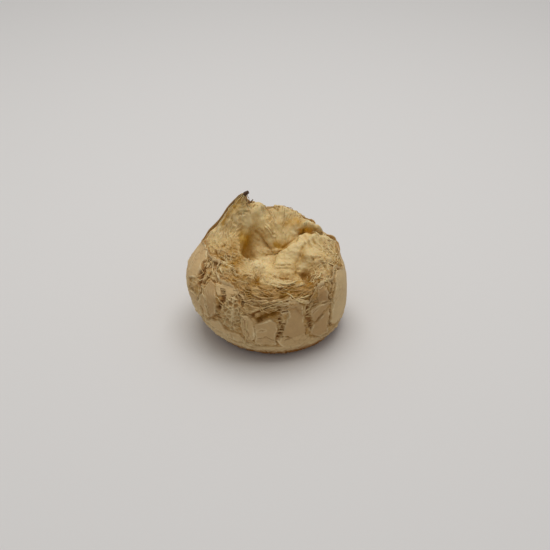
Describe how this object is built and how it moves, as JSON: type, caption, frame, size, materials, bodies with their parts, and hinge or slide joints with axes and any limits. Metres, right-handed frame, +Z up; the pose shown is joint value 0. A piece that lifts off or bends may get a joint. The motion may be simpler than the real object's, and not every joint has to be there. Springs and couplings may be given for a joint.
{
  "type": "pao de queijo",
  "caption": "Round cheese bread with a cracked matte crust, its top torn open into a folded crater with a pulled-up peak.",
  "frame": {"origin": "middle of the bounding box in plan, on the surface the bread rests on", "axes": "+X to the right of the torn front, along the longest side; +Y to the back; +Z up"},
  "size_m": [0.0742, 0.0642, 0.0632],
  "materials": {
    "crust": null
  },
  "bodies": {
    "root": {"bread": "crust"}
  },
  "joints": []
}
